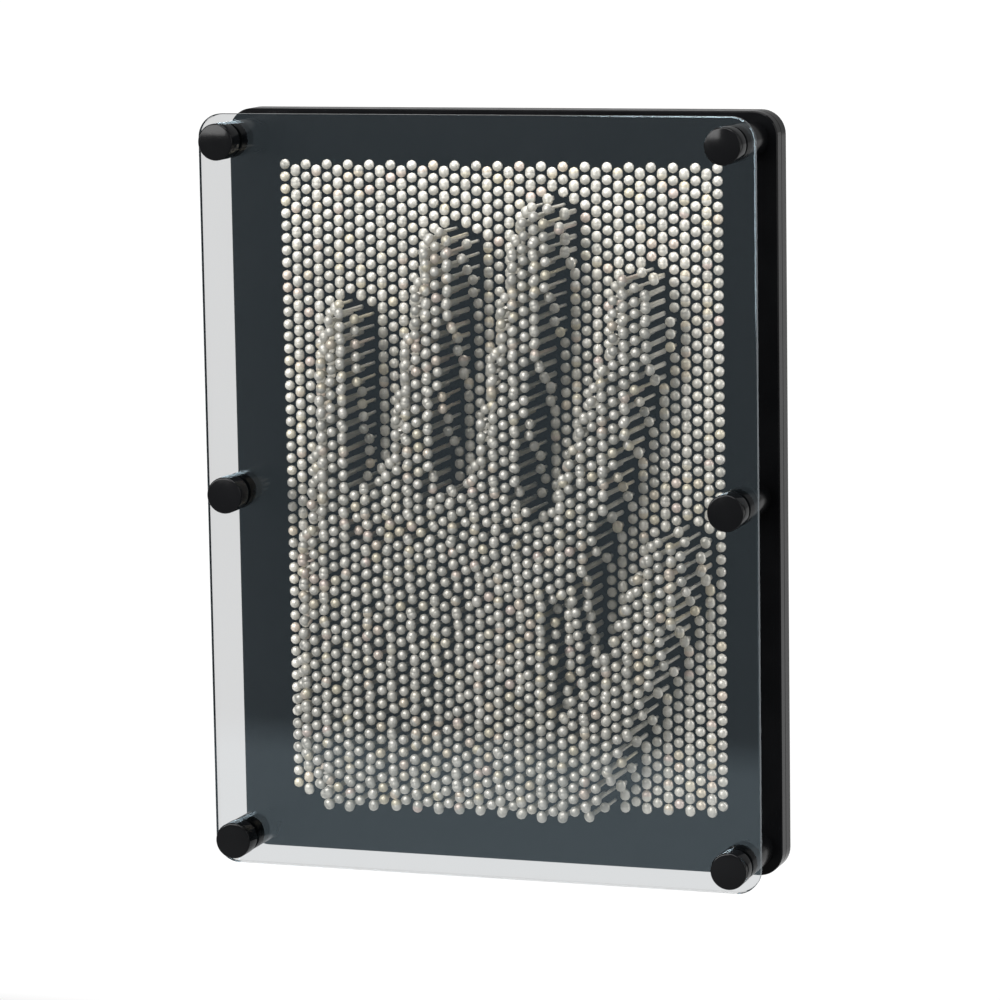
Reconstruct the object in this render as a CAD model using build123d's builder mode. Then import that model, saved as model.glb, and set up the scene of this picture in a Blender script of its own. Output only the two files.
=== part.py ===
"""Pin art impression toy: a clear window, a pin board with an open rim, and 2132 sliding pins.

The toy stands upright on the lower edges of its window and pin board. +Z is up, the window faces -Y,
and the origin is the middle of the bounding box's bottom. All sizes are in millimetres.

The pins are held in the shape of a right hand pressed in from behind, palm first. Pins that stand at
the same height in the same part of the hand share a node, so that they can slide as one body.
"""

import os
from math import cos, hypot, pi, sin

from build123d import *

# Outline shared by the window and the pin board
WIDTH = 153.4
HEIGHT = 203.2
CORNER_R = 6.5

# Depths, counted backwards from the window's front face
WINDOW_T = 2.0
BOARD_FRONT = 21.8
BOARD_T = 4.0
RIM_T = 4.2
RIM_FRONT = BOARD_FRONT + BOARD_T
BODY_REAR = RIM_FRONT + RIM_T

# Pillars between the window and the board, and what fastens them
POST_X = 69.6
POST_Z = 94.4
POST_R = 4.7
POST_BEVEL = 0.25
CAP_R = 4.9
CAP_T = 5.7
CAP_BEVEL = 0.5
STUD_R = 1.5
STUD_REACH = 7.5
FIT_GAP = 0.15
SCREW_HEAD_R = 2.9
SCREW_HEAD_T = 2.0
SCREW_REACH = 7.0
DRIVE_R = 1.25
DRIVE_DEPTH = 1.2
BLIND_END = 0.6
RIM_WALL = 4.0
BOSS_R = 4.2

# Pins and their hexagonal lattice; every second column stands half a row lower
COLUMNS = 41
ROWS = 52
COLUMN_PITCH = 3.03
ROW_PITCH = 3.333
TOP_ROW_Z = 188.3
HOLE_R = 0.60
HOLE_SIDES = 4
SHANK_R = 0.45
HEAD_R = 1.38
HEAD_T = 1.15
HEAD_RIM_T = 0.35
HEAD_GAP = 0.15
TRAVEL = 18.0
TAIL_SPARE = 0.5
SHANK_L = HEAD_GAP + (BODY_REAR - BOARD_FRONT) + TRAVEL + TAIL_SPARE

# The hand in the pins: rods of flesh from (x, z) to (x, z), with a radius at either end
FLANK = 4.2
HAND = {
    "little_finger": [((-40.5, 146.5), (-44.0, 96.0), 7.4, 8.4)],
    "ring_finger": [((-11.5, 166.0), (-22.5, 100.0), 8.2, 9.4)],
    "middle_finger": [((15.5, 173.0), (1.5, 98.0), 8.6, 9.8)],
    "index_finger": [((41.0, 156.0), (41.0, 142.0), 8.2, 8.8), ((41.0, 142.0), (22.0, 88.0), 8.8, 10.5)],
    "thumb": [((50.5, 86.0), (40.0, 58.0), 9.6, 10.6), ((40.0, 58.0), (20.0, 26.0), 10.6, 15.0)],
    "palm": [
        ((-43.5, 86.0), (-43.5, 34.0), 12.0, 14.5),
        ((-29.0, 84.0), (-27.0, 28.0), 24.0, 26.0),
        ((-2.0, 84.0), (-4.0, 24.0), 24.0, 26.0),
        ((10.0, 78.0), (6.0, 12.0), 20.0, 20.0),
    ],
}
# Hollows and folds of the palm: from (x, z) to (x, z), how far they reach, how deep they are
HOLLOWS = (
    ((-4.0, 68.0), (-14.0, 44.0), 27.0, 4.2),
    ((20.5, 72.0), (24.0, 47.0), 6.5, 8.5),
    ((-36.0, 92.0), (8.0, 96.0), 5.0, 2.4),
    ((-30.0, 72.0), (2.0, 80.0), 5.0, 1.8),
    ((-26.0, 18.0), (4.0, 16.0), 12.0, 2.6),
)
# Heights above the board at which each part of the hand holds its pins
FINGER_LEVELS = (4.0, 8.5, 13.0, 16.4)
PALM_LEVELS = (3.0, 6.0, 9.0, 11.5, 13.5, 15.0, 16.4)
FULL_HEIGHT = 16.4

# The bounding box runs from the caps' faces to the tails of the pins that stand back on the board
DEPTH_FRONT = -CAP_T
DEPTH_REAR = BOARD_FRONT - HEAD_GAP + SHANK_L
MIDDLE = (DEPTH_FRONT + DEPTH_REAR) / 2
POST_SPOTS = {
    "top_left": (-POST_X, HEIGHT / 2 + POST_Z),
    "top_right": (POST_X, HEIGHT / 2 + POST_Z),
    "middle_left": (-POST_X, HEIGHT / 2),
    "middle_right": (POST_X, HEIGHT / 2),
    "bottom_left": (-POST_X, HEIGHT / 2 - POST_Z),
    "bottom_right": (POST_X, HEIGHT / 2 - POST_Z),
}


def facing(depth):
    """Plane at a depth behind the window's front face: its x is +X, its y is +Z, its normal is -Y."""
    return Plane(origin=(0, depth - MIDDLE, 0), x_dir=(1, 0, 0), z_dir=(0, -1, 0))


def pin_spots():
    """The (x, z) of every hole, column by column from the left."""
    spots = []
    for column in range(COLUMNS):
        x = (column - (COLUMNS - 1) / 2) * COLUMN_PITCH
        drop = ROW_PITCH / 2 if column % 2 else 0
        spots += [(x, TOP_ROW_Z - drop - row * ROW_PITCH) for row in range(ROWS)]
    return spots


def rod_depth(x, z, start, end, start_r, end_r):
    """How far inside a tapered rod's outline the point is; negative outside."""
    run = (end[0] - start[0], end[1] - start[1])
    along = ((x - start[0]) * run[0] + (z - start[1]) * run[1]) / (run[0] ** 2 + run[1] ** 2)
    along = min(max(along, 0), 1)
    radius = start_r + (end_r - start_r) * along
    return radius - hypot(x - start[0] - along * run[0], z - start[1] - along * run[1])


def hand_at(x, z):
    """The part of the hand that lifts the pin at this point, and the height that it lifts it to."""
    inside, part = max(
        (rod_depth(x, z, *rod), name) for name, rods in HAND.items() for rod in rods
    )
    share = min(max(inside / FLANK, 0), 1)
    height = FULL_HEIGHT * (1 - cos(pi * share)) / 2
    if part == "palm":
        for start, end, reach, depth in HOLLOWS:
            near = max(rod_depth(x, z, start, end, reach, reach) / reach, 0)
            height -= depth * (1 - cos(pi * near)) / 2
    return part, max(height, 0)


def sort_pins():
    """Groups of pins by node name: each has its height and the spots of its pins."""
    groups = {"pins_on_board": (0.0, [])}
    for name in HAND:
        levels = PALM_LEVELS if name == "palm" else FINGER_LEVELS
        for number, level in enumerate(levels, 1):
            groups[f"pins_{name}_{number}"] = (level, [])
    for x, z in pin_spots():
        part, height = hand_at(x, z)
        levels = (0.0,) + (PALM_LEVELS if part == "palm" else FINGER_LEVELS)
        number = min(range(len(levels)), key=lambda i: abs(levels[i] - height))
        groups[f"pins_{part}_{number}" if number else "pins_on_board"][1].append((x, z))
    return groups


def save(part, name, surface_curves=True):
    """Label a finished piece and write its STEP file. A large file is small without surface curves."""
    part.label = name
    export_step(part, f"parts/{name}.step", write_pcurves=surface_curves)


def add_outline():
    """The rounded rectangle that the window, the board and the rim share, standing on z = 0."""
    with Locations((0, HEIGHT / 2)):
        RectangleRounded(WIDTH, HEIGHT, CORNER_R)


def hole_ring(x, z):
    """Outline of one many-sided pin hole whose flats are HOLE_R from its middle."""
    corner_r = HOLE_R / cos(pi / HOLE_SIDES)
    turns = [2 * pi * (side + 0.5) / HOLE_SIDES for side in range(HOLE_SIDES)]
    corners = [(x + corner_r * cos(turn), z + corner_r * sin(turn)) for turn in turns]
    return Wire.make_polygon([facing(0).from_local_coords(Vector(*corner)) for corner in corners])


def screw_ring(x, z):
    """Outline of one round screw hole."""
    plane = facing(0)
    middle = plane.from_local_coords(Vector(x, z))
    return Wire.make_circle(STUD_R + FIT_GAP, Plane(middle, z_dir=plane.z_dir))


def board_strip(left, right, rings):
    """One upright strip of a pin board's front face, from left to right, with its holes."""
    with BuildSketch(facing(0)) as strip:
        add_outline()
        with Locations(((left + right) / 2, HEIGHT / 2)):
            Rectangle(right - left, HEIGHT, mode=Mode.INTERSECT)
    return Face(strip.sketch.faces()[0].outer_wire(), rings)


def pin_board(depth):
    """A perforated board whose front lies at this depth.

    Its faces are cut into one strip for each column of holes, and a strip for each margin. The strips'
    inner walls are left out, so that the board is one solid.
    """
    half = COLUMNS * COLUMN_PITCH / 2
    posts = list(POST_SPOTS.values())
    strips = [
        board_strip(-WIDTH / 2, -half, [screw_ring(*spot) for spot in posts if spot[0] < 0]),
        board_strip(half, WIDTH / 2, [screw_ring(*spot) for spot in posts if spot[0] > 0]),
    ]
    spots = pin_spots()
    for column in range(COLUMNS):
        left = column * COLUMN_PITCH - half
        holes = spots[column * ROWS : (column + 1) * ROWS]
        strips.append(board_strip(left, left + COLUMN_PITCH, [hole_ring(*spot) for spot in holes]))
    skin = []
    for strip in strips:
        for face in Solid.extrude(strip, Vector(0, BOARD_T, 0)).faces():
            sideways = face.geom_type == GeomType.PLANE and abs(face.normal_at().X) > 0.999
            if not (sideways and face.area > HEIGHT and abs(face.center().X) < half + 0.1):
                skin.append(face)
    board = Solid(Shell(skin)).moved(Location((0, depth, 0)))
    if not board.is_valid:
        raise ValueError("the pin board is not a sound solid")
    return board


os.makedirs("parts", exist_ok=True)

# Clear window in front, with a hole for the stud of each cap
with BuildPart() as window:
    with BuildSketch(facing(WINDOW_T)):
        add_outline()
        with Locations(*POST_SPOTS.values()):
            Circle(STUD_R + FIT_GAP, mode=Mode.SUBTRACT)
    extrude(amount=WINDOW_T)
save(window.part, "front_window")

# Thick perforated board that the pin heads rest on and that keeps the shanks square to the window
save(pin_board(BOARD_FRONT), "pin_board", surface_curves=False)

# Open rim behind the board, with a boss round each screw
with BuildPart() as rim:
    with BuildSketch(facing(BODY_REAR)):
        add_outline()
        with Locations((0, HEIGHT / 2)):
            RectangleRounded(WIDTH - 2 * RIM_WALL, HEIGHT - 2 * RIM_WALL, CORNER_R - RIM_WALL,
                             mode=Mode.SUBTRACT)
        with Locations(*POST_SPOTS.values()):
            Circle(BOSS_R)
        with Locations(*POST_SPOTS.values()):
            Circle(STUD_R + FIT_GAP, mode=Mode.SUBTRACT)
    extrude(amount=RIM_T)
save(rim.part, "rim_frame")

# Six pillars, each with a blind bore for the cap's stud and one for the screw
for name, spot in POST_SPOTS.items():
    with BuildPart() as post:
        with BuildSketch(facing(BOARD_FRONT)):
            with Locations(spot):
                Circle(POST_R)
        extrude(amount=BOARD_FRONT - WINDOW_T)
        chamfer(post.edges().filter_by(GeomType.CIRCLE), POST_BEVEL)
        with BuildSketch(facing(WINDOW_T)):
            with Locations(spot):
                Circle(STUD_R + FIT_GAP)
        extrude(amount=-(STUD_REACH + BLIND_END), mode=Mode.SUBTRACT)
        with BuildSketch(facing(BOARD_FRONT)):
            with Locations(spot):
                Circle(STUD_R + FIT_GAP)
        extrude(amount=SCREW_REACH + BLIND_END, mode=Mode.SUBTRACT)
    save(post.part, f"post_{name}")

# Six round caps in front of the window, each with a stud that screws into its pillar
for name, spot in POST_SPOTS.items():
    with BuildPart() as cap:
        with BuildSketch(facing(0)):
            with Locations(spot):
                Circle(CAP_R)
        extrude(amount=CAP_T)
        chamfer(cap.faces().sort_by(Axis.Y)[0].edges(), CAP_BEVEL)
        with BuildSketch(facing(WINDOW_T + STUD_REACH)):
            with Locations(spot):
                Circle(STUD_R)
        extrude(amount=WINDOW_T + STUD_REACH)
    save(cap.part, f"cap_{name}")

# Six screws from behind, through the rim and the board into the pillars
with BuildPart() as screws:
    with BuildSketch(facing(BODY_REAR + SCREW_HEAD_T)):
        with Locations(*POST_SPOTS.values()):
            Circle(SCREW_HEAD_R)
    extrude(amount=SCREW_HEAD_T)
    chamfer(screws.faces().sort_by(Axis.Y)[-6:].edges(), SCREW_HEAD_T / 3)
    with BuildSketch(facing(BODY_REAR)):
        with Locations(*POST_SPOTS.values()):
            Circle(STUD_R)
    extrude(amount=BODY_REAR - BOARD_FRONT + SCREW_REACH)
    with BuildSketch(facing(BODY_REAR + SCREW_HEAD_T)):
        with Locations(*POST_SPOTS.values()):
            RegularPolygon(DRIVE_R, 6)
    extrude(amount=DRIVE_DEPTH, mode=Mode.SUBTRACT)
save(screws.part, "rear_screws")

# One pin, turned about its own axis: domed head in front, long straight shank behind
head_base = BOARD_FRONT - HEAD_GAP - MIDDLE
dome_base = head_base - HEAD_RIM_T
dome_rise = HEAD_T - HEAD_RIM_T
dome_r = (HEAD_R**2 + dome_rise**2) / (2 * dome_rise)
dome_middle = dome_base - dome_rise + dome_r
dome_half_x = HEAD_R / 2
dome_half_y = dome_middle - (dome_r**2 - dome_half_x**2) ** 0.5
with BuildPart() as pin:
    with BuildSketch(Plane.XY) as half:
        with BuildLine():
            Line((0, dome_base - dome_rise), (0, head_base + SHANK_L))
            Line((0, head_base + SHANK_L), (SHANK_R, head_base + SHANK_L))
            Line((SHANK_R, head_base + SHANK_L), (SHANK_R, head_base))
            Line((SHANK_R, head_base), (HEAD_R, head_base))
            Line((HEAD_R, head_base), (HEAD_R, dome_base))
            ThreePointArc((HEAD_R, dome_base), (dome_half_x, dome_half_y), (0, dome_base - dome_rise))
        make_face()
    revolve(axis=Axis.Y)
if not pin.part.is_valid:
    raise ValueError("the pin is not a sound solid")

for name, (height, spots) in sort_pins().items():
    if spots:
        group = Compound([pin.part.solid().moved(Location((x, -height, z))) for x, z in spots])
        save(group, name)
        print(f"{name}: {len(spots)} pins, {height:.1f} mm up")
print(f"depth {DEPTH_REAR - DEPTH_FRONT:.2f}, middle {MIDDLE:.3f}, shank {SHANK_L:.2f}")
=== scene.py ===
"""Pin art impression toy: clear window, black pin board and sliding nickel pins, dressed for looks."""

from __future__ import annotations

import logging
from dataclasses import dataclass, field
from enum import Enum
from math import cos, radians, sin

import bpy
import numpy as np
from mathutils import Matrix, Vector


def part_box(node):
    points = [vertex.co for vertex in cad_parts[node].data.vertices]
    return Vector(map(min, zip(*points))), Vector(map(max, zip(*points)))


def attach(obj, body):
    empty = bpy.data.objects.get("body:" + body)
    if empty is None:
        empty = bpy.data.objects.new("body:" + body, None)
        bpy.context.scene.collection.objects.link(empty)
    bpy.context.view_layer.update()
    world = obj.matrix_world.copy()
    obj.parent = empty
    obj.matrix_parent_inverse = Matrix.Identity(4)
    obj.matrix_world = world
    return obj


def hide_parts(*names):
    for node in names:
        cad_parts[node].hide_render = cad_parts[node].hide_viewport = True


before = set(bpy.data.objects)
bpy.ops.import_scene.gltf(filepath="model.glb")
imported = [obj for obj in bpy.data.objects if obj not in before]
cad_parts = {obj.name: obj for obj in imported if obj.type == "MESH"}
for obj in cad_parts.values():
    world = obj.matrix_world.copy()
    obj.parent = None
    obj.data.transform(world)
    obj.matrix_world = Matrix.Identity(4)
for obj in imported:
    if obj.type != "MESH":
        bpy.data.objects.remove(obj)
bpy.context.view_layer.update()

logging.basicConfig(level=logging.INFO, format="%(message)s")
log = logging.getLogger("pin_art")

MM = 0.001
BASE = "pin_board_and_window"

Nodes = bpy.types.Nodes
Links = bpy.types.NodeLinks
Socket = bpy.types.NodeSocket
Outline = tuple[np.ndarray, np.ndarray]


class Slot(Enum):
    """Material slot names of the record."""

    ACRYLIC = "clear_acrylic"
    BOARD = "black_board"
    POST = "black_post"
    CAP = "black_cap"
    SCREW = "black_screw"
    PIN = "nickel_pin"


# ---------------------------------------------------------------- mesh helpers


def make_piece(name: str, verts: np.ndarray, faces: list, smooth: bool = True) -> bpy.types.Object:
    """Put vertices and faces into a new object that sits at the origin.

    Args:
        name: name of the piece.
        verts: (n, 3) positions in metres.
        faces: tuples of vertex numbers.
        smooth: whether faces are shaded smooth.

    Returns:
        The new object, linked to the scene.
    """
    mesh = bpy.data.meshes.new(name)
    mesh.from_pydata(verts.tolist(), [], faces)
    mesh.polygons.foreach_set("use_smooth", np.full(len(mesh.polygons), smooth))
    mesh.update()
    piece = bpy.data.objects.new(name, mesh)
    bpy.context.scene.collection.objects.link(piece)
    return piece


def turned(profile: np.ndarray, segments: int) -> tuple[np.ndarray, np.ndarray, np.ndarray]:
    """Surface of revolution about the Y axis.

    A point at angle a on ring k is (r_k sin a, y_k, r_k cos a). The first and the last profile
    points lie on the axis and close the ends with fans.

    Args:
        profile: (k, 2) radius and y from the front pole to the rear pole.
        segments: number of points on each ring.

    Returns:
        Vertices, quads between rings, and triangles at the two poles.
    """
    rings = profile[1:-1]
    angle = np.linspace(0, 2 * np.pi, segments, endpoint=False)
    grid = np.stack(
        [
            rings[:, :1] * np.sin(angle),
            np.repeat(rings[:, 1:], segments, axis=1),
            rings[:, :1] * np.cos(angle),
        ],
        axis=-1,
    ).reshape(-1, 3)
    poles = np.array([[0, profile[0, 1], 0], [0, profile[-1, 1], 0]])
    verts = np.vstack([grid, poles])
    here = np.arange(segments)
    after = (here + 1) % segments
    starts = np.arange(len(rings) - 1)[:, None] * segments
    quads = np.stack(
        [starts + here, starts + after, starts + segments + after, starts + segments + here], -1
    ).reshape(-1, 4)
    last = (len(rings) - 1) * segments
    front = np.stack([after, here, np.full(segments, len(grid))], -1)
    rear = np.stack([last + here, last + after, np.full(segments, len(grid) + 1)], -1)
    return verts, quads, np.vstack([front, rear])


def rounded_outline(width: float, height: float, radius: float, steps: int) -> Outline:
    """Outline of a rounded rectangle in X and Z, standing on z = 0, counted from the top right corner.

    Each corner is a quarter turn: the corner's centre plus radius times (cos a, sin a).

    Args:
        width: full width.
        height: full height.
        radius: corner radius.
        steps: points on each corner.

    Returns:
        (n, 2) points and (n, 2) outward normals.
    """
    turn = np.linspace(0, np.pi / 2, steps)
    angles = np.concatenate([turn + k * np.pi / 2 for k in range(4)])
    normal = np.stack([np.cos(angles), np.sin(angles)], -1)
    side = np.repeat(np.array([[1, 1], [-1, 1], [-1, -1], [1, -1]]), steps, axis=0)
    centre = side * np.array([width / 2 - radius, height / 2 - radius]) + np.array([0, height / 2])
    return centre + radius * normal, normal


def slab(
    name: str,
    outline: Outline,
    front: float,
    rear: float,
    bevel: float,
) -> bpy.types.Object:
    """A flat plate with bevelled edges: its edge profile is carried along the outline.

    Each profile point is an inset from the outline and a depth: front face, front bevel, rear bevel,
    rear face. The two big faces close the ends.

    Args:
        name: name of the piece.
        outline: points and normals from rounded_outline.
        front: y of the front face.
        rear: y of the rear face.
        bevel: width of the edge bevel.

    Returns:
        The new piece; its side faces use material slot 1 and its big faces slot 0.
    """
    points, normals = outline
    count = len(points)
    profile = [(bevel, front), (0.0, front + bevel), (0.0, rear - bevel), (bevel, rear)]
    rings = [
        np.insert(points - inset * normals, 1, y, axis=1)
        for inset, y in profile
    ]
    verts = np.vstack(rings)
    here = np.arange(count)
    after = (here + 1) % count
    faces = [tuple(here.tolist()), tuple((here[::-1] + 3 * count).tolist())]
    for ring in range(3):
        low = ring * count
        around = [low + here, low + count + here, low + count + after, low + after]
        faces += np.stack(around, -1).tolist()
    piece = make_piece(name, verts, faces, smooth=False)
    marks = np.ones(len(piece.data.polygons), dtype=np.int32)
    marks[:2] = 0
    piece.data.polygons.foreach_set("material_index", marks)
    return piece


# ---------------------------------------------------------------- finishes


def new_material(name: str) -> tuple[bpy.types.Material, Nodes, Links]:
    """An empty node material with a Principled shader joined to its output.

    Args:
        name: name of the material.

    Returns:
        The material, its nodes and its links.
    """
    material = bpy.data.materials.new(name)
    material.use_nodes = True
    return material, material.node_tree.nodes, material.node_tree.links


def noise(nodes: Nodes, links: Links, scale: float, detail: float = 3.0) -> bpy.types.Node:
    """A noise texture on Object coordinates, in metres.

    Args:
        nodes: the material's nodes.
        links: the material's links.
        scale: cells per metre.
        detail: octaves.

    Returns:
        The noise node.
    """
    place = nodes.new("ShaderNodeTexCoord")
    grain = nodes.new("ShaderNodeTexNoise")
    grain.inputs["Scale"].default_value = scale
    grain.inputs["Detail"].default_value = detail
    links.new(place.outputs["Object"], grain.inputs["Vector"])
    return grain


def ramp(nodes: Nodes, links: Links, source: Socket, stops: list) -> bpy.types.Node:
    """A colour ramp fed from a socket.

    Args:
        nodes: the material's nodes.
        links: the material's links.
        source: what drives the ramp.
        stops: (position, (r, g, b)) pairs.

    Returns:
        The ramp node.
    """
    node = nodes.new("ShaderNodeValToRGB")
    while len(node.color_ramp.elements) < len(stops):
        node.color_ramp.elements.new(1.0)
    for element, (position, colour) in zip(node.color_ramp.elements, stops):
        element.position = position
        element.color = (*colour, 1.0)
    links.new(source, node.inputs["Fac"])
    return node


def grey_stops(low: float, high: float) -> list:
    """Two stops that map a noise's middle range to low and high."""
    return [(0.3, (low,) * 3), (0.7, (high,) * 3)]


def add_bump(nodes: Nodes, links: Links, source: Socket, strength: float, distance: float) -> None:
    """Drive the Principled shader's normal with a bump from a height socket.

    Args:
        nodes: the material's nodes.
        links: the material's links.
        source: the height.
        strength: how much of the bump shows.
        distance: height of the bump in metres.
    """
    bump = nodes.new("ShaderNodeBump")
    bump.inputs["Strength"].default_value = strength
    bump.inputs["Distance"].default_value = distance
    links.new(source, bump.inputs["Height"])
    links.new(bump.outputs["Normal"], nodes["Principled BSDF"].inputs["Normal"])


@dataclass(frozen=True)
class BlackPlastic:
    """Gloss or satin black plastic with faint moulding waviness and fine dust."""

    name: str
    dark: tuple = (0.0015, 0.0016, 0.0018)
    light: tuple = (0.003, 0.0031, 0.0035)
    rough_low: float = 0.10
    rough_high: float = 0.22
    specular: float = 0.35
    wave: float = 0.05

    def make(self) -> bpy.types.Material:
        """Build the material."""
        material, nodes, links = new_material(self.name)
        shader = nodes["Principled BSDF"]
        shader.inputs["Specular IOR Level"].default_value = self.specular
        cloud = noise(nodes, links, 45.0)
        colour = ramp(nodes, links, cloud.outputs["Fac"], [(0.3, self.dark), (0.75, self.light)])
        links.new(colour.outputs["Color"], shader.inputs["Base Color"])
        smear = noise(nodes, links, 160.0, 5.0)
        rough = ramp(nodes, links, smear.outputs["Fac"], grey_stops(self.rough_low, self.rough_high))
        links.new(rough.outputs["Color"], shader.inputs["Roughness"])
        add_bump(nodes, links, noise(nodes, links, 30.0, 1.0).outputs["Fac"], self.wave, 0.001)
        return material


@dataclass(frozen=True)
class ClearAcrylic:
    """Clear sheet: mirror reflections that grow towards grazing, over what stands behind it."""

    name: str = "clear_acrylic"
    ior: float = 1.49
    haze: float = 0.17
    tint: tuple = (0.15, 0.19, 0.215)

    def make(self) -> bpy.types.Material:
        """Build the material."""
        material, nodes, links = new_material(self.name)
        shader = nodes["Principled BSDF"]
        shader.inputs["Metallic"].default_value = 1.0
        shader.inputs["Base Color"].default_value = (*self.tint, 1.0)
        fresnel = nodes.new("ShaderNodeFresnel")
        fresnel.inputs["IOR"].default_value = self.ior
        cloud = noise(nodes, links, 12.0)
        film = nodes.new("ShaderNodeMapRange")
        film.inputs["To Min"].default_value = 0.92 * self.haze
        film.inputs["To Max"].default_value = 1.08 * self.haze
        links.new(cloud.outputs["Fac"], film.inputs["Value"])
        cover = nodes.new("ShaderNodeMath")
        cover.operation = "ADD"
        cover.use_clamp = True
        links.new(fresnel.outputs["Fac"], cover.inputs[0])
        links.new(film.outputs["Result"], cover.inputs[1])
        links.new(cover.outputs["Value"], shader.inputs["Alpha"])
        smear = noise(nodes, links, 90.0, 4.0)
        rough = ramp(nodes, links, smear.outputs["Fac"], grey_stops(0.02, 0.06))
        links.new(rough.outputs["Color"], shader.inputs["Roughness"])
        return material


@dataclass(frozen=True)
class PolishedEdgeWithPaintedSheen:
    """Sawn and polished edge of the acrylic sheet, blue-violet, with painted sheen and shade: faces
    turned to +X are painted light and faces turned to -X painted dark.
    """

    name: str = "acrylic_edge_painted_sheen"
    # dark is the painted shade on edges turned to -X, light the painted sheen on edges turned to +X.
    dark: tuple = (0.010, 0.012, 0.030)
    light: tuple = (0.20, 0.19, 0.27)

    def make(self) -> bpy.types.Material:
        """Build the material."""
        material, nodes, links = new_material(self.name)
        shader = nodes["Principled BSDF"]
        shader.inputs["Alpha"].default_value = 0.88
        shader.inputs["Specular IOR Level"].default_value = 0.6
        sheen_facing = nodes.new("ShaderNodeNewGeometry")
        split = nodes.new("ShaderNodeSeparateXYZ")
        links.new(sheen_facing.outputs["Normal"], split.inputs["Vector"])
        # Painted sheen and shade: the colour follows the edge's normal along X, light on the camera's
        # side and dark away from it.
        side = nodes.new("ShaderNodeMapRange")
        side.inputs["From Min"].default_value = -0.4
        side.inputs["From Max"].default_value = 0.9
        links.new(split.outputs["X"], side.inputs["Value"])
        colour = ramp(nodes, links, side.outputs["Result"], [(0.0, self.dark), (1.0, self.light)])
        links.new(colour.outputs["Color"], shader.inputs["Base Color"])
        saw = noise(nodes, links, 400.0, 2.0)
        rough = ramp(nodes, links, saw.outputs["Fac"], grey_stops(0.08, 0.2))
        links.new(rough.outputs["Color"], shader.inputs["Roughness"])
        return material


@dataclass(frozen=True)
class NickelPin:
    """Satin nickel plate: each pin has its own tone, with fine tumbling marks."""

    name: str = "nickel_pin"
    tone: str = "tone"

    def make(self) -> bpy.types.Material:
        """Build the material."""
        material, nodes, links = new_material(self.name)
        shader = nodes["Principled BSDF"]
        shader.inputs["Metallic"].default_value = 0.35
        tone = nodes.new("ShaderNodeAttribute")
        tone.attribute_name = self.tone
        stops = [
            (0.0, (0.62, 0.60, 0.54)),
            (0.45, (0.78, 0.75, 0.67)),
            (0.8, (0.84, 0.81, 0.74)),
            (0.9, (0.80, 0.73, 0.56)),
            (1.0, (0.82, 0.69, 0.62)),
        ]
        colour = ramp(nodes, links, tone.outputs["Fac"], stops)
        links.new(colour.outputs["Color"], shader.inputs["Base Color"])
        marks = noise(nodes, links, 2500.0, 3.0)
        rough = ramp(nodes, links, marks.outputs["Fac"], grey_stops(0.34, 0.46))
        links.new(rough.outputs["Color"], shader.inputs["Roughness"])
        add_bump(nodes, links, marks.outputs["Fac"], 0.12, 0.0001)
        return material


@dataclass(frozen=True)
class ShankWithPaintedShade:
    """Bare drawn shank of a pin, smoother than its plated head; its very dark base colour is painted
    shade that stands in for the shade and dark reflections between the window and the board.
    """

    name: str = "pin_shank_painted_shade"

    def make(self) -> bpy.types.Material:
        """Build the material."""
        material, nodes, links = new_material(self.name)
        shader = nodes["Principled BSDF"]
        shader.inputs["Metallic"].default_value = 1.0
        marks = noise(nodes, links, 1800.0, 2.0)
        # Painted shade: very dark metal colour for the shank, standing in for the shade between window
        # and board.
        stops = [(0.3, (0.13, 0.135, 0.13)), (0.7, (0.20, 0.205, 0.20))]
        colour = ramp(nodes, links, marks.outputs["Fac"], stops)
        links.new(colour.outputs["Color"], shader.inputs["Base Color"])
        rough = ramp(nodes, links, marks.outputs["Fac"], grey_stops(0.10, 0.18))
        links.new(rough.outputs["Color"], shader.inputs["Roughness"])
        return material


@dataclass(frozen=True)
class GlowingFloor:
    """Glowing studio floor under and behind the toy, painted light: its own colour is black, and a white
    glow, dimmer towards the front of the room, makes it look white and leaves no shadow under the toy.
    """

    name: str = "glowing_floor"
    glow: float = 1.05
    dim: float = 0.42
    dim_from: float = -0.21
    full_glow_from: float = -0.16

    def make(self) -> bpy.types.Material:
        """Build the material."""
        material, nodes, links = new_material(self.name)
        shader = nodes["Principled BSDF"]
        shader.inputs["Specular IOR Level"].default_value = 0.0
        shader.inputs["Roughness"].default_value = 0.8
        shader.inputs["Emission Strength"].default_value = self.glow
        place = nodes.new("ShaderNodeTexCoord")
        split = nodes.new("ShaderNodeSeparateXYZ")
        links.new(place.outputs["Object"], split.inputs["Vector"])
        depth = nodes.new("ShaderNodeMapRange")
        depth.inputs["From Min"].default_value = self.dim_from
        depth.inputs["From Max"].default_value = self.full_glow_from
        links.new(split.outputs["Y"], depth.inputs["Value"])
        # Painted light: the glow is full behind the toy and falls to the dim level towards the front of
        # the room.
        colour = ramp(nodes, links, depth.outputs["Result"], [(0.0, (self.dim,) * 3), (1.0, (1.0,) * 3)])
        shader.inputs["Base Color"].default_value = (0.0, 0.0, 0.0, 1.0)
        links.new(colour.outputs["Color"], shader.inputs["Emission Color"])
        return material


def dress(piece: bpy.types.Object, *materials: bpy.types.Material) -> None:
    """Give a piece these materials in place of what it has."""
    piece.data.materials.clear()
    for material in materials:
        piece.data.materials.append(material)


# ---------------------------------------------------------------- sub-assemblies


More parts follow.
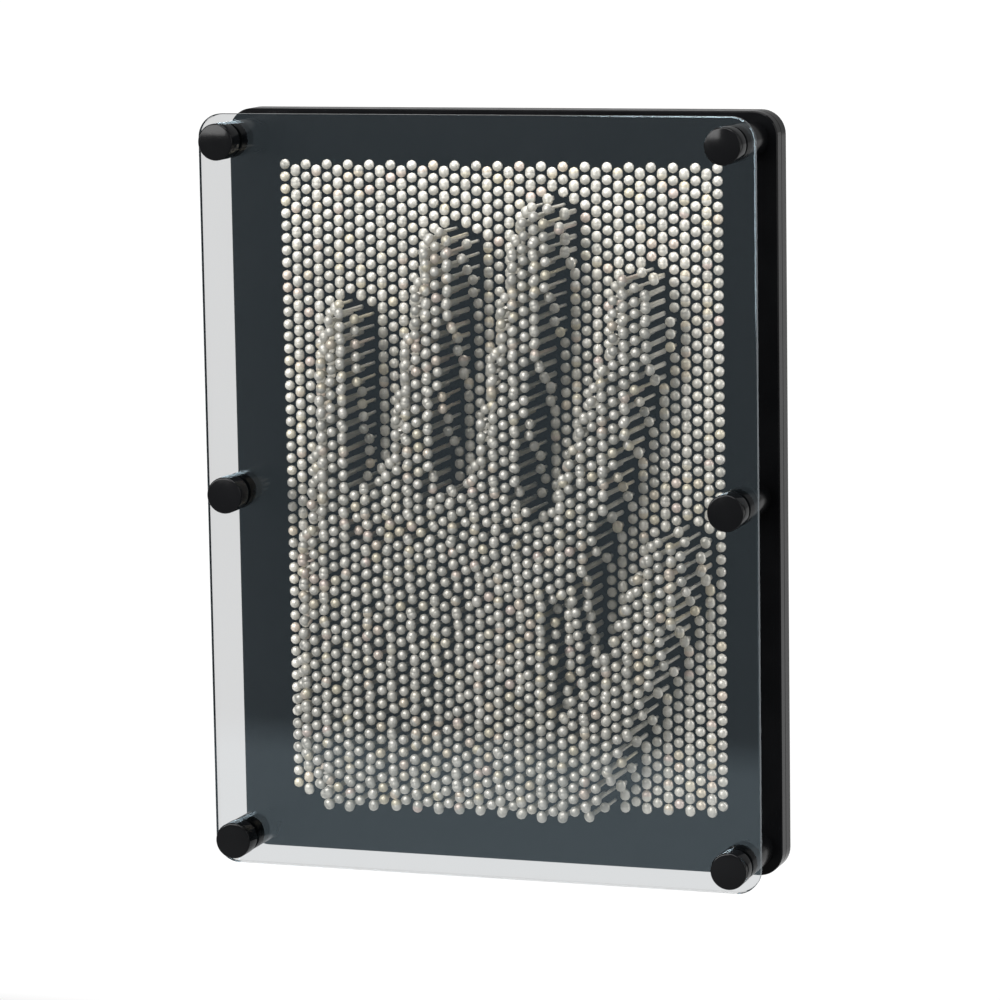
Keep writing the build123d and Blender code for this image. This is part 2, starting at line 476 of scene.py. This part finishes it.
@dataclass
class PinField:
    """All pins of the board, one piece for each group that slides together."""

    pitch_x: float = 3.03 * MM
    pitch_z: float = 3.333 * MM
    shank_r: float = 0.45 * MM
    head_r: float = 1.38 * MM
    head_t: float = 1.15 * MM
    rim_t: float = 0.50 * MM
    edge_soft: float = 0.06 * MM
    segments: int = 10
    lean: float = radians(0.95)
    droop: float = radians(0.35)
    board_middle: float = 0.0
    finish: NickelPin = field(default_factory=NickelPin)

    def profile(self, front: float, rear: float) -> np.ndarray:
        """Half outline of a pin: low dome, rounded rim, flat underside and straight shank.

        The dome is an arc whose radius falls as the cosine of its height.

        Args:
            front: y of the head's top.
            rear: y of the shank's end.

        Returns:
            (k, 2) radius and y from front to rear.
        """
        rise = np.array([0.42, 0.78, 1.0])
        dome_r = self.head_r * np.sin(rise * np.pi / 2) ** 0.9
        dome_y = front + (self.head_t - self.rim_t) * (1 - np.cos(rise * np.pi / 2))
        base = front + self.head_t
        return np.array(
            [(0, front)]
            + list(zip(dome_r, dome_y))
            + [
                (self.head_r, base - self.edge_soft),
                (self.head_r - self.edge_soft, base),
                (self.shank_r, base),
                (self.shank_r, rear),
                (0, rear),
            ]
        )

    def spots(self, node: bpy.types.Object) -> tuple[np.ndarray, float, float]:
        """Where a group's pins stand, read from the rear ends of its CAD solids.

        Vertices on the rearmost plane are gathered by their lattice cell. Each cell's middle is a pin.

        Args:
            node: the CAD node of the group.

        Returns:
            (n, 2) X and Z of the pins, and the y of their heads' tops and of their rear ends.
        """
        coords = np.empty(len(node.data.vertices) * 3)
        node.data.vertices.foreach_get("co", coords)
        coords = coords.reshape(-1, 3)
        front, rear = coords[:, 1].min(), coords[:, 1].max()
        ends = coords[coords[:, 1] > rear - 1e-5]
        column = np.round(ends[:, 0] / self.pitch_x).astype(int)
        row = np.round(2 * ends[:, 2] / self.pitch_z - 0.5 * (column % 2)).astype(int)
        keys, member = np.unique(np.stack([column, row], -1), axis=0, return_inverse=True)
        member = member.ravel()
        low = np.full((len(keys), 2), np.inf)
        high = np.full((len(keys), 2), -np.inf)
        np.minimum.at(low, member, ends[:, [0, 2]])
        np.maximum.at(high, member, ends[:, [0, 2]])
        return (low + high) / 2, front, rear

    def build(self, name: str, node: bpy.types.Object, seed: int) -> bpy.types.Object:
        """One piece with every pin of a group.

        Each pin is a turned body. It leans about the middle of the board by a small angle, and sags a
        little under its own head: x and z shift by the lean times the distance from the board's middle.

        Args:
            name: name of the CAD node that the piece stands for.
            node: the CAD node.
            seed: start of the group's random numbers.

        Returns:
            The new piece.
        """
        spots, front, rear = self.spots(node)
        count = len(spots)
        dice = np.random.default_rng(seed)
        verts, quads, tris = turned(self.profile(front, rear), self.segments)
        swing = dice.uniform(0, 2 * np.pi, count)
        size = self.lean * np.sqrt(dice.uniform(0, 1, count))
        slope = np.stack([size * np.cos(swing), size * np.sin(swing) + self.droop], -1)
        reach = verts[None, :, 1] - self.board_middle
        body = np.repeat(verts[None], count, axis=0)
        body[:, :, 0] += spots[:, None, 0] + slope[:, None, 0] * reach
        body[:, :, 2] += spots[:, None, 1] + slope[:, None, 1] * reach
        offset = (np.arange(count) * len(verts))[:, None, None]
        faces = (quads[None] + offset).reshape(-1, 4).tolist()
        faces += (tris[None] + offset).reshape(-1, 3).tolist()
        piece = make_piece(f"{name}_set", body.reshape(-1, 3), faces)
        # Shank faces take slot 1, the shank finish with painted shade.
        painted_shade_shank = np.zeros(len(quads), dtype=np.int32)
        painted_shade_shank[-self.segments:] = 1
        marks = np.concatenate([np.tile(painted_shade_shank, count), np.zeros(count * len(tris), dtype=np.int32)])
        piece.data.polygons.foreach_set("material_index", marks)
        tone = piece.data.attributes.new(self.finish.tone, "FLOAT", "POINT")
        tone.data.foreach_set("value", np.repeat(dice.uniform(0, 1, count), len(verts)))
        piece.data.set_sharp_from_angle(angle=radians(50))
        return piece


@dataclass
class PinBoard:
    """Perforated board: a rounded sheet with a six-sided hole for each pin."""

    columns: int = 41
    rows: int = 52
    pitch_x: float = 3.03 * MM
    pitch_z: float = 3.333 * MM
    top_row: float = 188.3 * MM
    hole_r: float = 0.60 * MM
    corner_r: float = 6.5 * MM
    bevel: float = 0.35 * MM
    steps: int = 12

    def cells(self, front: float, rear: float) -> tuple[np.ndarray, list]:
        """Both faces of every hole's own rectangle, and the walls of the holes.

        A cell has four corners and six points on the hole, first on the front face and then on the rear.
        Every second column stands half a row lower.

        Args:
            front: y of the front face.
            rear: y of the rear face.

        Returns:
            Vertices and faces.
        """
        turn = np.arange(6) * np.pi / 3
        cell = np.array([self.pitch_x, self.pitch_z])
        corner = np.array([[1, 1], [-1, 1], [-1, -1], [1, -1]]) * cell / 2
        hole = self.hole_r * np.stack([np.cos(turn), np.sin(turn)], -1)
        flat = np.vstack([corner, hole])
        one = np.vstack([np.insert(flat, 1, front, axis=1), np.insert(flat, 1, rear, axis=1)])
        column, row = np.meshgrid(np.arange(self.columns), np.arange(self.rows), indexing="ij")
        x = (column.ravel() - (self.columns - 1) / 2) * self.pitch_x
        z = self.top_row - (row.ravel() + 0.5 * (column.ravel() % 2)) * self.pitch_z
        verts = one[None] + np.stack([x, np.zeros_like(x), z], -1)[:, None]
        face = [(3, 0, 4), (0, 5, 4), (3, 4, 9), (0, 1, 6, 5)]
        face += [(1, 2, 7), (1, 7, 6), (2, 8, 7), (2, 3, 9, 8)]
        back = [tuple(10 + k for k in reversed(f)) for f in face]
        wall = [(4 + k, 4 + (k + 1) % 6, 14 + (k + 1) % 6, 14 + k) for k in range(6)]
        faces = [tuple(20 * n + k for k in f) for n in range(len(x)) for f in face + back + wall]
        return verts.reshape(-1, 3), faces

    def build(self, name: str, node: str) -> bpy.types.Object:
        """The board in the place of its CAD node.

        Args:
            name: name of the piece.
            node: the CAD node.

        Returns:
            The new piece.
        """
        low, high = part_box(node)
        front, rear = low[1], high[1]
        verts, faces = self.cells(front, rear)
        points, normals = rounded_outline(high[0] - low[0], high[2] - low[2], self.corner_r, self.steps)
        profile = [
            (self.bevel, front),
            (0.0, front + self.bevel),
            (0.0, rear - self.bevel),
            (self.bevel, rear),
        ]
        rings = [np.insert(points - inset * normals, 1, y, axis=1) for inset, y in profile]
        half = self.columns * self.pitch_x / 2
        top = self.top_row + self.pitch_z / 2
        bottom = self.top_row - self.rows * self.pitch_z
        frame_corners = np.array([[half, top], [-half, top], [-half, bottom], [half, bottom]])
        start = len(verts)
        count = len(points)
        here = np.arange(count)
        after = (here + 1) % count
        for ring in range(3):
            base = start + ring * count
            around = [base + here, base + count + here, base + count + after, base + after]
            faces += np.stack(around, -1).tolist()
        inner = start + 4 * count
        for depth, (ring, flip) in enumerate(((0, 1), (3, -1))):
            base = start + ring * count
            corner = inner + 4 * depth
            for k in range(4):
                side = base + k * self.steps
                for step in range(self.steps - 1):
                    faces.append((side + step, side + step + 1, corner + k)[::flip])
                ahead = base + (k + 1) % 4 * self.steps
                faces.append((side + self.steps - 1, ahead, corner + (k + 1) % 4, corner + k)[::flip])
        inner_front = np.insert(frame_corners, 1, front, axis=1)
        inner_rear = np.insert(frame_corners, 1, rear, axis=1)
        pieces = [verts, *rings, inner_front, inner_rear]
        filler, extra = self.fillers(front, rear, top, bottom, inner + 8)
        return make_piece(name, np.vstack([*pieces, filler]), faces + extra, smooth=False)

    def fillers(
        self, front: float, rear: float, top: float, bottom: float, first: int
    ) -> tuple[np.ndarray, list]:
        """Half cells that close the staggered ends of the columns.

        Args:
            front: y of the front face.
            rear: y of the rear face.
            top: z of the upper end.
            bottom: z of the lower end.
            first: number of the first new vertex.

        Returns:
            Vertices and faces.
        """
        verts, faces = [], []
        for column in range(self.columns):
            x = (column - self.columns / 2) * self.pitch_x
            low = top - self.pitch_z / 2 if column % 2 else bottom
            for y, flip in ((front, 1), (rear, -1)):
                number = first + len(verts)
                wide, tall = x + self.pitch_x, low + self.pitch_z / 2
                verts += [(x, y, low), (wide, y, low), (wide, y, tall), (x, y, tall)]
                faces.append(tuple(range(number, number + 4))[::flip])
        return np.array(verts), faces


@dataclass
class Window:
    """Clear acrylic sheet in front of the pins."""

    corner_r: float = 6.5 * MM
    bevel: float = 0.25 * MM
    steps: int = 14

    def build(self) -> bpy.types.Object:
        """The sheet, in the place of its CAD node."""
        low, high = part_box("front_window")
        outline = rounded_outline(high[0] - low[0], high[2] - low[2], self.corner_r, self.steps)
        return slab("window_sheet", outline, low[1], high[1], self.bevel)


@dataclass
class Fastener:
    """Turned black parts at the six corners and sides: pillars behind the window, caps in front."""

    cap_soft: float = 0.45 * MM
    post_soft: float = 0.2 * MM
    rear_soft: float = 0.15 * MM
    segments: int = 64

    def spun(
        self, name: str, node: str, front: float, rear: float, radius: float, soft: float
    ) -> bpy.types.Object:
        """A cylinder with softened ends, turned about the middle of a CAD node.

        Args:
            name: name of the piece.
            node: the CAD node whose middle it shares.
            front: y of the front face.
            rear: y of the rear face.
            radius: radius of the cylinder.
            soft: radius of the softened front edge.

        Returns:
            The new piece.
        """
        low, high = (np.array(corner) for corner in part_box(node))
        middle = (low + high) / 2
        turn = np.linspace(0, np.pi / 2, 5)
        edge = np.stack([radius - soft + soft * np.sin(turn), front + soft - soft * np.cos(turn)], -1)
        tail = [(radius, rear - self.rear_soft), (radius - self.rear_soft, rear), (0, rear)]
        profile = np.vstack([[(0, front)], edge, tail])
        verts, quads, tris = turned(profile, self.segments)
        verts = verts + np.array([middle[0], 0, middle[2]])
        piece = make_piece(name, verts, quads.tolist() + tris.tolist())
        piece.data.set_sharp_from_angle(angle=radians(35))
        return piece


# ---------------------------------------------------------------- studio


@dataclass
class Studio:
    """Camera, floor, lights and world."""

    azimuth: float = 19.04
    elevation: float = 8.61
    roll: float = -0.93
    distance: float = 1.1806
    lens: float = 161.66
    target: tuple = (0.0065, -0.0214, 0.1022)
    sensor: float = 36.0
    floor_reach: float = 9.0
    world_glow: float = 0.5

    def camera(self) -> None:
        """Look at the toy from its right and a little above."""
        turn, rise = radians(self.azimuth), radians(self.elevation)
        forward = Vector((-sin(turn) * cos(rise), cos(turn) * cos(rise), -sin(rise)))
        right = Vector((cos(turn), sin(turn), 0))
        up = right.cross(forward)
        tilt = radians(self.roll)
        right, up = cos(tilt) * right + sin(tilt) * up, cos(tilt) * up - sin(tilt) * right
        data = bpy.data.cameras.new("camera")
        data.lens = self.lens
        data.sensor_width = self.sensor
        data.clip_end = 50.0
        camera = bpy.data.objects.new("camera", data)
        place = Vector(self.target) - forward * self.distance
        axes = Matrix((right, up, -forward)).transposed().to_4x4()
        camera.matrix_world = Matrix.Translation(place) @ axes
        bpy.context.scene.collection.objects.link(camera)
        bpy.context.scene.camera = camera

    def light(self, name: str, place: tuple, aim: tuple, size: tuple, power: float) -> None:
        """One rectangular softbox.

        Args:
            name: name of the light.
            place: its middle.
            aim: the point that it faces.
            size: width and height.
            power: watts.
        """
        data = bpy.data.lights.new(name, "AREA")
        data.shape = "RECTANGLE"
        data.size, data.size_y = size
        data.energy = power
        lamp = bpy.data.objects.new(name, data)
        lamp.location = place
        lamp.rotation_euler = (Vector(aim) - Vector(place)).to_track_quat("-Z", "Y").to_euler()
        bpy.context.scene.collection.objects.link(lamp)

    def build(self) -> None:
        """Set up the whole studio."""
        self.camera()
        reach = self.floor_reach
        corners = reach * np.array([[-1, -1, 0], [1, -1, 0], [1, 1, 0], [-1, 1, 0]])
        floor = make_piece("studio_floor", corners, [(0, 1, 2, 3)], smooth=False)
        dress(floor, GlowingFloor().make())
        toy = (0, 0, 0.1)
        self.light("overhead", (0.1, -0.5, 1.6), toy, (1.2, 1.0), 50.0)
        self.light("key_left", (-1.0, -1.6, 0.8), toy, (1.2, 1.2), 100.0)
        self.light("strip_right", (1.25, -0.35, 0.45), toy, (0.35, 1.1), 9.0)
        world = bpy.data.worlds.new("studio_world")
        world.use_nodes = True
        sky = world.node_tree.nodes["Background"]
        sky.inputs["Color"].default_value = (1, 1, 1, 1)
        sky.inputs["Strength"].default_value = self.world_glow
        bpy.context.scene.world = world
        bpy.context.scene.view_settings.view_transform = "Standard"


# ---------------------------------------------------------------- assembly


def build_pins() -> None:
    """Dress every group of pins and let it ride on its own body."""
    low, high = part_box("pin_board")
    field_of_pins = PinField(board_middle=(low[1] + high[1]) / 2)
    nickel = field_of_pins.finish.make()
    painted_shade_shank = ShankWithPaintedShade().make()
    names = sorted(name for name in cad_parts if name.startswith("pins_"))
    for seed, name in enumerate(names):
        piece = field_of_pins.build(name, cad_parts[name], seed)
        dress(piece, nickel, painted_shade_shank)
        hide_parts(name)
        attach(piece, name)
        log.info("%s: %d faces", piece.name, len(piece.data.polygons))


def build_window() -> None:
    """Dress the window."""
    piece = Window().build()
    dress(piece, ClearAcrylic().make(), PolishedEdgeWithPaintedSheen().make())
    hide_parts("front_window")
    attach(piece, BASE)
    log.info("%s: %d faces", piece.name, len(piece.data.polygons))


def build_fasteners() -> None:
    """Turned pillars and caps at the six stations."""
    parts = Fastener()
    post_black = BlackPlastic("post_black", rough_low=0.16, rough_high=0.30, specular=0.06).make()
    cap_black = BlackPlastic("cap_black", rough_low=0.08, rough_high=0.16, specular=0.08).make()
    window_low, window_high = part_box("front_window")
    board_low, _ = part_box("pin_board")
    stations = sorted(name[len("post_"):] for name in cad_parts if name.startswith("post_"))
    for station in stations:
        low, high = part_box(f"post_{station}")
        node, radius = f"post_{station}", (high[0] - low[0]) / 2
        ends = (window_high[1], board_low[1])
        post = parts.spun(f"pillar_{station}", node, *ends, radius, parts.post_soft)
        low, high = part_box(f"cap_{station}")
        node, radius = f"cap_{station}", (high[0] - low[0]) / 2
        ends = (low[1], window_low[1])
        cap = parts.spun(f"screw_cap_{station}", node, *ends, radius, parts.cap_soft)
        for piece, material, slot, node in (
            (post, post_black, Slot.POST, f"post_{station}"),
            (cap, cap_black, Slot.CAP, f"cap_{station}"),
        ):
            dress(piece, material)
            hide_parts(node)
            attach(piece, BASE)
            log.info("%s: %d faces", piece.name, len(piece.data.polygons))


def dress_board() -> None:
    """Perforated board, and the black finish on it, the rim and the screws."""
    board = BlackPlastic("board_black", specular=0.03, rough_low=0.12, rough_high=0.2).make()
    screw = BlackPlastic("screw_black", rough_low=0.28, rough_high=0.42, specular=0.5).make()
    piece = PinBoard().build("pin_board_sheet", "pin_board")
    dress(piece, board)
    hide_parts("pin_board")
    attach(piece, BASE)
    log.info("%s: %d faces", piece.name, len(piece.data.polygons))
    dress(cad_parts["rim_frame"], board)
    dress(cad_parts["rear_screws"], screw)


def main() -> None:
    """Build everything in order."""
    Studio().build()
    dress_board()
    build_pins()
    build_window()
    build_fasteners()


if __name__ == "__main__":
    main()
